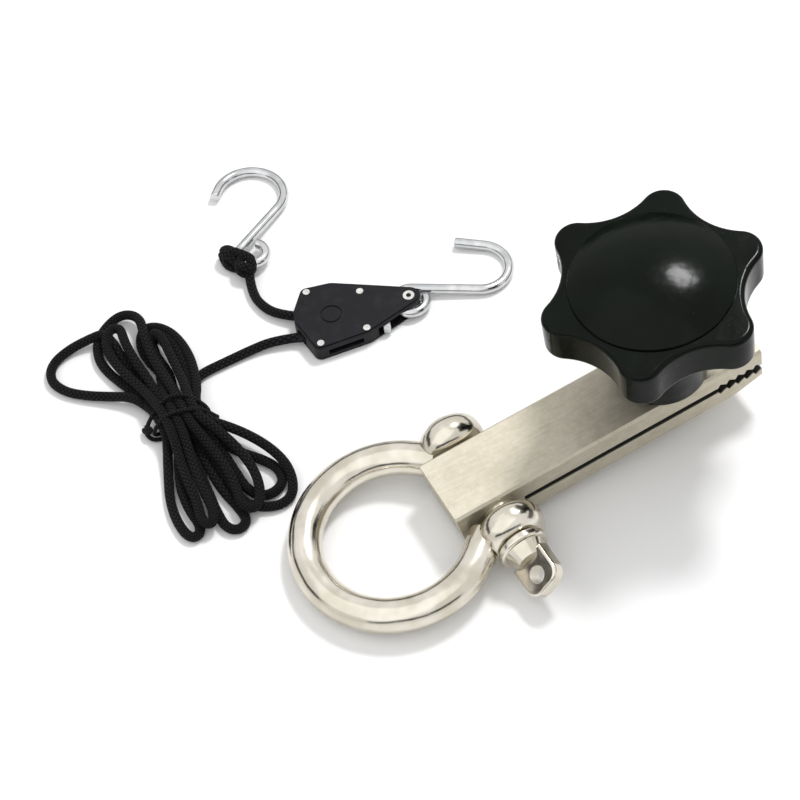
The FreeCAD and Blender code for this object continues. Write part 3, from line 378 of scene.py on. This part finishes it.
# folds as (along, across, height) in millimetres, from one waist slot to another
FOLDS = [
    ("low_4", [(12, 8.6, 3.2), (24, 15.5, 2.3), (33, 23.6, 2.3), (40, 27.0, 2.3), (46.5, 26.0, 2.3),
               (49.6, 20.5, 2.3), (48.3, 14.6, 2.3), (42, 11.2, 2.3), (33, 10.4, 2.3), (22, 9.6, 2.6),
               (12, 6.8, 5.4)], "mid_4"),
    ("mid_4", [(-13, 8.6, 5.4), (-22, 11.2, 2.6), (-35, 12.6, 2.3), (-45, 12.0, 2.3), (-51, 8.6, 2.3),
               (-49, 4.8, 2.3), (-38, 3.2, 2.3), (-26, 0.8, 3.4), (-14, -2.0, 8.0)], "top_2"),
    ("top_2", [(12, -2.6, 9.4), (22, -4.2, 7.0), (34, -5.4, 6.4), (45, -5.2, 6.3), (51.6, -6.4, 6.3),
               (53.8, -9.4, 6.0), (50, -11.6, 6.0), (42, -9.9, 6.2), (31, -9.4, 6.4), (20, -8.4, 7.0),
               (11, -6.9, 9.6)], "top_1"),
    ("top_1", [(-12, -7.2, 10.0), (-22, -8.8, 7.6), (-34, -12.6, 6.5), (-45, -14.6, 6.4), (-53.5, -14.0, 6.5),
               (-59.4, -9.8, 6.6), (-58.2, -5.2, 6.6), (-50.5, -6.2, 6.5), (-40, -6.2, 6.5),
               (-27, -4.6, 6.6), (-14, -4.2, 7.4)], "mid_2"),
    ("mid_2", [(11, -6.2, 5.0), (20, -9.8, 2.9), (30, -13.2, 2.3), (41, -13.7, 2.3), (49, -12.5, 2.3),
               (53.9, -14.4, 2.3), (53.2, -18.8, 2.3), (44, -20.4, 2.3), (33, -19.2, 2.3), (22, -15.5, 2.4),
               (11, -11.0, 4.6)], "mid_1"),
    ("mid_1", [(-12, -9.2, 5.4), (-21, -10.2, 3.4), (-31, -14.2, 2.5), (-41, -18.0, 2.3), (-50, -19.4, 2.3),
               (-59.5, -16.2, 2.6), (-65.4, -8.2, 3.4), (-66.4, -0.6, 4.4), (-60, 4.6, 5.6), (-50, 2.6, 6.4),
               (-38, 1.3, 6.6), (-25, 1.9, 8.4), (-13, 2.2, 10.4)], "top_3"),
    ("top_3", [(11, 3.4, 9.8), (20, 5.6, 7.2), (31, 7.4, 6.4), (43, 7.0, 6.3), (51, 5.8, 6.3),
               (55.4, 9.4, 6.2), (52.2, 14.0, 6.2), (41, 17.2, 6.3), (27, 16.0, 6.4), (14, 11.6, 8.0)],
     "top_4"),
    ("top_4", [(-12, 7.4, 9.8), (-24, 8.4, 7.0), (-35, 8.6, 6.4), (-44, 9.0, 6.4), (-49.6, 6.6, 6.4),
               (-45.5, 3.4, 2.9), (-38, 3.6, 2.4), (-26, 5.4, 2.4), (-14, 1.4, 5.4)], "mid_3"),
    ("mid_3", [(11, 2.6, 5.2), (20, 5.4, 2.6), (32, 6.0, 2.3), (42, 6.6, 2.3), (49, 8.2, 2.3),
               (54.2, 14.0, 2.3), (56.4, 21.6, 2.3), (53.4, 27.6, 2.5), (45, 30.4, 4.6), (36.5, 29.2, 6.3),
               (26, 25.0, 6.5), (15, 18.0, 6.6)], "mid_5"),
    ("mid_5", [(-13, 12.4, 6.0), (-23, 14.8, 3.8), (-32, 16.2, 2.9), (-41, 15.8, 2.6), (-49, 13.6, 2.6),
               (-54.6, 9.0, 2.8), (-55.6, 3.6, 2.6), (-48, -1.0, 2.3), (-36, 0.0, 2.3), (-24, 4.0, 2.3),
               (-13, 3.0, 2.8)], "low_3"),
    ("low_3", [(12, 1.2, 2.9), (25, 1.4, 2.3), (38, 2.0, 2.3), (50, 5.0, 2.3), (57.0, 5.4, 2.3),
               (59.4, 0.6, 2.3), (55.6, -3.8, 2.3), (46, -4.0, 2.3), (34, -3.2, 2.3), (22, -2.6, 2.3),
               (11, -2.0, 2.9)], "low_2"),
]


def along_hank(along, across, height):
    """A point of the hank in the model's frame, in millimetres."""
    c, s = math.cos(HANK_HEADING), math.sin(HANK_HEADING)
    return (HANK_WAIST[0] + along * c - across * s, HANK_WAIST[1] + along * s + across * c, height)


WAIST_HALF = 5.0
TAIL_LINE = [(-15.1, -7.0, 4.0), (-26.0, -6.6, 3.6), (-36.5, -9.2, 2.5), (-47.5, -13.4, 2.2),
             (-58.5, -17.8, 2.2), (-66.5, -22.3, 2.6)]
SIDE_LOOP = [(-97.5, 8.6, 6.4), (-105.5, 7.4, 4.6), (-114.3, 4.8, 2.9), (-122.2, -1.4, 2.2),
             (-123.2, -10.2, 2.2), (-117.2, -17.0, 2.2), (-108.3, -20.9, 2.4), (-97.6, -24.0, 3.4),
             (-87.5, -27.2, 5.2)]

route = TAIL_LINE[:-1] + [along_hank(-17, 9.6, 2.4)]
for start, fold, end in FOLDS:
    side = 1 if fold[0][0] > 0 else -1
    across, height = SLOTS[start]
    route += [along_hank(sign * side * WAIST_HALF, across, height) for sign in (-1, 1)]
    route += [along_hank(*point) for point in fold]
across, height = SLOTS["low_2"]
route += [along_hank(5, across, height), along_hank(-5, across, height),
          along_hank(-16, -4.6, 2.4), along_hank(-30, -8.4, 2.3), along_hank(-44, -9.6, 2.3)]
route += SIDE_LOOP
across, height = SLOTS["low_1"]
route += [along_hank(-13, -9.0, 4.2), along_hank(-5, across, height), along_hank(5, across, height),
          along_hank(13, -6.9, 2.5), along_hank(22, -8.0, 2.3)]

tail_rope = add_cord("tail_rope", route, ROPE_DIAMETER)
tail_length = line_length(tail_rope)
print("tail rope", round(tail_length, 3), "m", len(route), "points")
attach(tail_rope, "housing")
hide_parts("rope_tail_line", "rope_side_loop", "rope_hank")

# %% Load line
LOAD_LINE = [(-33.7, 31.0, 3.6), (-33.4, 21.6, 2.7), (-28.9, 12.9, 2.8), (-22.3, 7.2, 3.5), (-15.1, 4.6, 4.0)]
load_rope = add_cord("load_rope", LOAD_LINE[::-1], ROPE_DIAMETER)
load_length = line_length(load_rope)
print("load rope", round(load_length, 3), "m")

# %% [markdown]
# ## Knot
# The rope is hitched to the free hook's eye.  It wraps tightly round its own standing part
# and round the wire in two lumps, and its end is tucked and left as a short stub.  The knot is
# one more piece of the same rope, wound through listed points where the standing part ends.

# %% Knot on the free hook
KNOT = [(-33.7, 30.2, 3.4), (-33.6, 33.6, 3.6), (-31.4, 36.6, 5.4), (-33.4, 39.6, 7.6), (-37.0, 37.0, 7.6),
        (-38.0, 32.8, 6.2), (-35.0, 30.8, 5.0), (-31.6, 32.6, 6.8), (-32.2, 36.8, 8.8), (-36.4, 40.0, 8.8),
        (-40.6, 43.6, 7.4), (-43.6, 42.4, 4.6), (-42.0, 38.4, 2.8), (-37.6, 38.8, 2.6), (-37.4, 43.0, 3.4),
        (-41.4, 46.4, 5.4), (-44.4, 44.6, 7.0), (-41.8, 40.6, 7.4), (-37.6, 37.2, 5.2), (-36.2, 33.2, 8.4),
        (-33.0, 31.6, 8.0), (-31.8, 34.6, 3.2), (-36.0, 36.4, 2.3), (-40.6, 37.8, 2.3), (-44.2, 41.4, 2.3),
        (-44.8, 46.6, 2.3)]
knot = add_cord("hitch", KNOT, ROPE_DIAMETER)
knot_length = line_length(knot)
print("knot", round(knot_length, 3), "m")
knot.parent = load_rope
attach(load_rope, "housing")
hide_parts("rope_load_line")
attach(knot, "housing")
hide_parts("rope_knot")

# %% [markdown]
# ## Tie
# Thin black cord holds the hank: two turns round its waist, knotted at the left, with one
# loop left long along the hank's side.

# %% Tie round the waist
UPPER_BAND = [(-6.0, -11.8), (-8.6, -2.6), (-6.0, 5.4), (-1.4, 11.7)]
LOWER_BAND = [(-0.5, -12.6), (-0.1, -6.1), (1.6, 2.3), (2.8, 8.6), (2.7, 12.7)]
TIE_TOP = 14.3


def over_hank(points, height=TIE_TOP):
    """Band points over the hank, which drop to the table at both sides."""
    lifted = []
    for along, across in points:
        fall = max(0.0, (abs(across) - 6.0) / 7.0)
        lifted.append(along_hank(along, across, height - (height - 5.0) * min(1.0, fall) ** 1.6))
    return lifted


under = [along_hank(0.5, 12.6, 2.2), along_hank(-1.2, 6.0, 1.0), along_hank(-1.6, -6.0, 1.0),
         along_hank(-1.0, -12.2, 2.0)]
tie_route = ([along_hank(-6.8, -14.0, 2.4), along_hank(-4.6, -14.6, 3.4)] + over_hank(UPPER_BAND)
             + under + over_hank(LOWER_BAND)
             + [along_hank(3.6, 14.6, 2.6), along_hank(1.4, 14.6, 1.4), along_hank(1.2, 10.0, 1.0),
                along_hank(1.6, -8.0, 1.0), along_hank(0.6, -14.0, 1.6), along_hank(-2.8, -15.6, 3.2),
                along_hank(-4.4, -13.6, 4.6), along_hank(-2.4, -12.8, 5.4), along_hank(-1.6, -14.6, 4.2),
                along_hank(-4.8, -16.0, 2.6), along_hank(-6.4, -15.4, 1.6)])
tie = add_cord("tie", tie_route, TIE_DIAMETER, sides=3)
tie_length = line_length(tie)
print("tie", round(tie_length, 3), "m")
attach(tie, "housing")
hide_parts("hank_tie")
tuple(c * MM for c in tie_route[0])

# %% Rope finishes
# GREY and the tie's own lighter grey are the painted highlight on the yarn crowns
BLACK = (0.0016, 0.0016, 0.0020)
GREY = (0.022, 0.0225, 0.026)
for cord, length in ((tail_rope, tail_length), (load_rope, load_length), (knot, knot_length)):
    finish = braid(cord.name + "_braid", length, 1.9, 6, BLACK, GREY, 0.5)
    cord.data.materials.append(finish.material)
twist = braid("tie_twist", tie_length, 1.1, 3, BLACK, (0.030, 0.030, 0.034), 0.25)
tie.data.materials.append(twist.material)

# %% [markdown]
# The short run of rope inside the ratchet is only glimpsed at its ports, and it has no length
# coordinate of its own, so its weave is drawn in the model's own space.

# %% Rope in the ratchet
inner_rope = Finish("inner_rope", BLACK, 0.75, Specular_IOR_Level=0.2)
weave = inner_rope.noise(1.3, detail=3.0)
# the weave is painted grey where its bump rises and black in its hollows: painted highlight and painted shade
inner_rope.set("Base Color", weave.step(0.4, 0.7).blend(BLACK, GREY))
inner_rope.bump(weave, 0.4)

# %% [markdown]
# ## Finishes on the solids
# Each solid keeps its own mesh.  A narrow bevel on the hard edges lets them catch the light.

# %% Apply finishes
FINISH_OF = {
    "back_cover": housing_finish, "front_cover": housing_finish, "cover_rivets": rivet_finish,
    "nose_rivet": rivet_finish, "nose_bush": steel_finish, "sheave_axle": steel_finish,
    "pawl_pivot": steel_finish, "pawl_spring": steel_finish, "sheave": sheave_finish,
    "release_pawl": lever_finish, "ratchet_hook": wire_finish, "rope_hook": wire_finish,
    "rope_in_ratchet": inner_rope, "clamp_bar": bar_finish, "lower_jaw": bar_finish,
    "star_knob": knob_finish, "knob_insert": steel_finish, "clamp_screw": screw_finish,
    "knob_washer": steel_finish, "shackle_bow": shackle_finish, "shackle_pin": shackle_finish}
for name, finish in FINISH_OF.items():
    mesh = nodes[name].data
    mesh.materials.clear()
    mesh.materials.append(finish.material)

BEVELS = {"back_cover": 0.25, "front_cover": 0.25, "cover_rivets": 0.30, "nose_rivet": 0.30,
          "clamp_bar": 0.30, "lower_jaw": 0.25}
for name, width in BEVELS.items():
    bevel = nodes[name].modifiers.new("soft_edges", "BEVEL")
    bevel.width = width * MM
    bevel.segments = 2
    bevel.limit_method = "ANGLE"
    bevel.angle_limit = math.radians(40)

# %% [markdown]
# ## Studio
# A white table and a white surround, with soft lamps.

# %% Floor
def stage_sheet(name, width, depth, matrix, material):
    bm = bmesh.new()
    bmesh.ops.create_grid(bm, x_segments=1, y_segments=1, size=0.5)
    bmesh.ops.scale(bm, vec=(width, depth, 1), verts=bm.verts)
    mesh = bpy.data.meshes.new(name)
    bm.to_mesh(mesh)
    bm.free()
    mesh.materials.append(material)
    sheet = bpy.data.objects.new(name, mesh)
    bpy.context.scene.collection.objects.link(sheet)
    sheet.matrix_world = matrix
    return sheet


floor_finish = Finish("table", (0.95, 0.95, 0.95), 0.9, Specular_IOR_Level=0.1)
stage_sheet("floor", 12.0, 12.0, Matrix(), floor_finish.material)


# %% Lights
def facing(at, towards):
    look = (Vector(at) - Vector(towards)).to_track_quat("Z", "Y").to_matrix().to_4x4()
    return Matrix.Translation(at) @ look


def softbox(name, at, size, power):
    data = bpy.data.lights.new(name, "AREA")
    data.shape = "RECTANGLE"
    data.size, data.size_y = size
    data.energy = power
    lamp = bpy.data.objects.new(name, data)
    bpy.context.scene.collection.objects.link(lamp)
    lamp.matrix_world = facing(at, (0.02, -0.05, 0))


softbox("key", (0.36, 0.30, 0.86), (0.20, 0.15), 5)
softbox("fill", (-0.4, -0.5, 1.1), (1.8, 1.8), 4)

flag_finish = Finish("flag", (0.03, 0.028, 0.025), 0.9)
for name, at, width, depth in (("flag_back", (0.0, 0.85, 0.16), 2.6, 0.24),
                               ("flag_left", (-0.85, 0.10, 0.22), 0.9, 0.22),
                               ("flag_right", (0.95, 0.10, 0.20), 0.9, 0.26),
                               ("flag_front", (0.1, -1.15, 0.34), 1.8, 0.26)):
    flag = stage_sheet(name, width, depth, facing(at, (0.02, -0.05, 0.1)), flag_finish.material)
    flag.visible_camera = False

# %% World
world = bpy.data.worlds.new("studio")
world.use_nodes = True
tree = world.node_tree
background = tree.nodes["Background"]
background.inputs["Color"].default_value = (1, 1, 1, 1)
path = tree.nodes.new("ShaderNodeLightPath")
seen = tree.nodes.new("ShaderNodeMath")
seen.operation = "MAXIMUM"
tree.links.new(path.outputs["Is Camera Ray"], seen.inputs[0])
tree.links.new(path.outputs["Is Glossy Ray"], seen.inputs[1])
strength = tree.nodes.new("ShaderNodeMapRange")
strength.inputs["To Min"].default_value = 0.75
strength.inputs["To Max"].default_value = 1.0  # seen directly and in reflections
tree.links.new(seen.outputs[0], strength.inputs["Value"])
tree.links.new(strength.outputs["Result"], background.inputs["Strength"])
bpy.context.scene.world = world
bpy.context.scene.view_settings.view_transform = "Standard"
